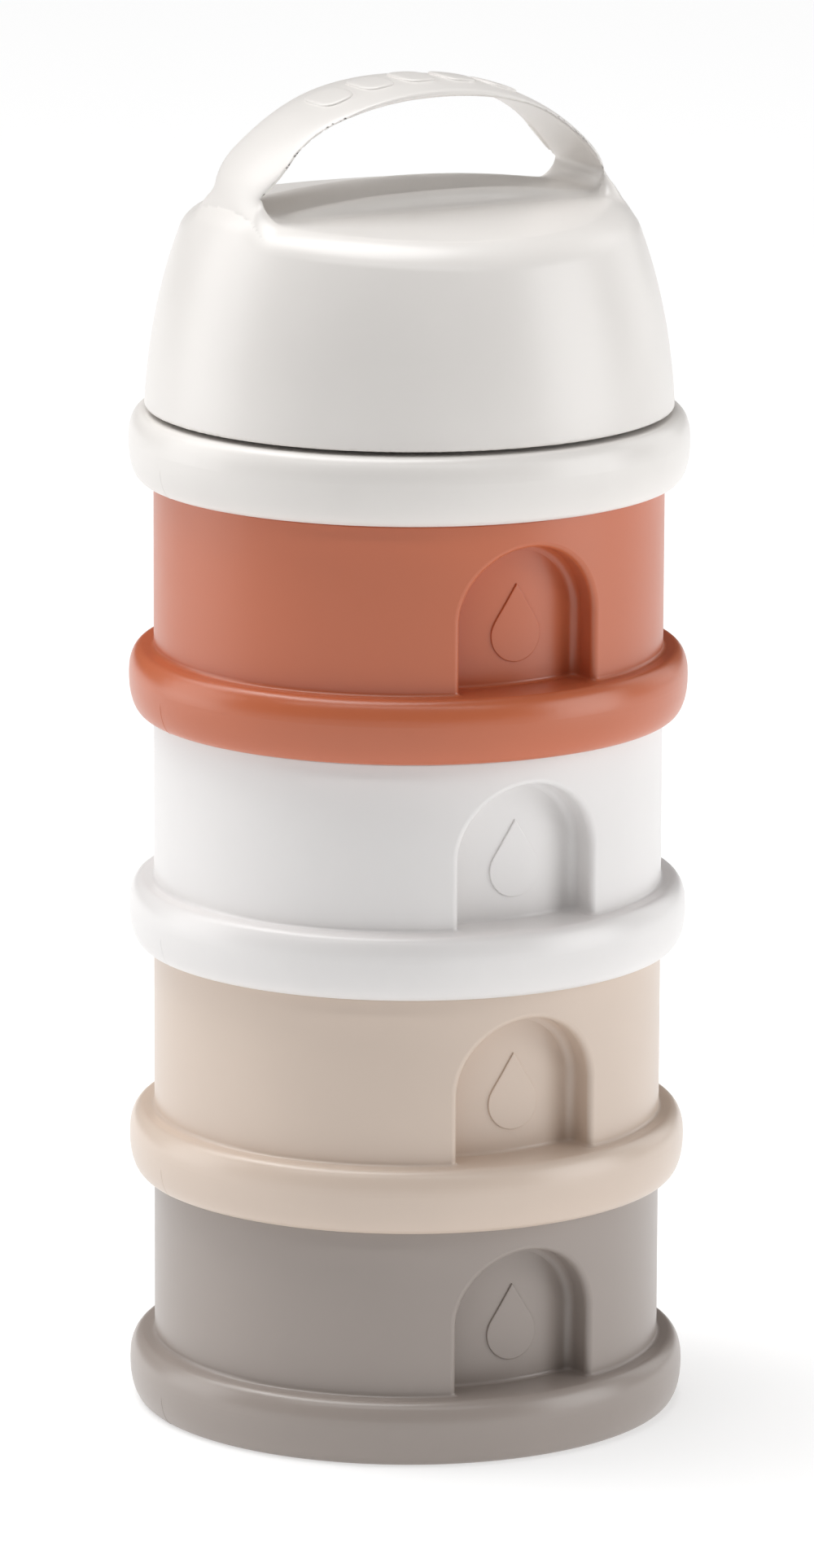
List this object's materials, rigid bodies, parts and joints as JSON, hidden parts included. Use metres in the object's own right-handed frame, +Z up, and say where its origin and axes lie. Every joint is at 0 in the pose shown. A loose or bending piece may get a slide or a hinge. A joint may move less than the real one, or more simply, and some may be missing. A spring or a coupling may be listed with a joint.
{
  "type": "formula dispenser",
  "caption": "Stackable round milk powder dispenser: screw-together cups with rounded beads and arch recesses, pour lid with spout, domed cap with carrying handle.",
  "frame": {"origin": "middle of the bottom cup's underside", "axes": "+Z up along the stack, handle across X, arch recesses face -Y"},
  "size_m": [0.09, 0.09, 0.2172],
  "materials": {
    "taupe_plastic": "satin moulded polypropylene",
    "beige_plastic": "satin moulded polypropylene",
    "white_plastic": "satin moulded polypropylene",
    "terracotta_plastic": "satin moulded polypropylene",
    "warm_white_plastic": "satin moulded polypropylene",
    "silicone": "translucent silicone"
  },
  "bodies": {
    "cup_1": {"container_1": "taupe_plastic", "gasket_1": "silicone"},
    "ring_2": {"gasket_2": "silicone"},
    "cup_2": {"container_2": "beige_plastic"},
    "ring_3": {"gasket_3": "silicone"},
    "cup_3": {"container_3": "white_plastic"},
    "ring_4": {"gasket_4": "silicone"},
    "cup_4": {"container_4": "terracotta_plastic"},
    "ring_lid": {"gasket_lid": "silicone"},
    "lid": {"pour_lid": "warm_white_plastic"},
    "seal": {"spout_seal": "silicone"},
    "cap": {"handle_cap": "warm_white_plastic"}
  },
  "joints": [
    {"name": "lift_2", "type": "slide", "parent": "cup_1", "child": "ring_2", "axis": [0, 0, 1], "range_m": [0, 0.0091]},
    {"name": "turn_2", "type": "hinge", "parent": "ring_2", "child": "cup_2", "pos_m": [0, 0, 0.0381], "axis": [0, 0, 1], "range_deg": [0, 360]},
    {"name": "lift_3", "type": "slide", "parent": "cup_2", "child": "ring_3", "axis": [0, 0, 1], "range_m": [0, 0.0091]},
    {"name": "turn_3", "type": "hinge", "parent": "ring_3", "child": "cup_3", "pos_m": [0, 0, 0.0762], "axis": [0, 0, 1], "range_deg": [0, 360]},
    {"name": "lift_4", "type": "slide", "parent": "cup_3", "child": "ring_4", "axis": [0, 0, 1], "range_m": [0, 0.0091]},
    {"name": "turn_4", "type": "hinge", "parent": "ring_4", "child": "cup_4", "pos_m": [0, 0, 0.1143], "axis": [0, 0, 1], "range_deg": [0, 360]},
    {"name": "lift_lid", "type": "slide", "parent": "cup_4", "child": "ring_lid", "axis": [0, 0, 1], "range_m": [0, 0.0091]},
    {"name": "turn_lid", "type": "hinge", "parent": "ring_lid", "child": "lid", "pos_m": [0, 0, 0.1524], "axis": [0, 0, 1], "range_deg": [0, 360]},
    {"name": "lift_cap", "type": "slide", "parent": "lid", "child": "seal", "axis": [0, 0, 1], "range_m": [0, 0.0091]},
    {"name": "turn_cap", "type": "hinge", "parent": "seal", "child": "cap", "pos_m": [0, 0, 0.1641], "axis": [0, 0, 1], "range_deg": [0, 360]}
  ],
  "couplings": [
    {"joint": "lift_2", "follows": "turn_2", "m_per_rad": 0.0014324},
    {"joint": "lift_3", "follows": "turn_3", "m_per_rad": 0.0014324},
    {"joint": "lift_4", "follows": "turn_4", "m_per_rad": 0.0014324},
    {"joint": "lift_lid", "follows": "turn_lid", "m_per_rad": 0.0014324},
    {"joint": "lift_cap", "follows": "turn_cap", "m_per_rad": 0.0014324}
  ]
}
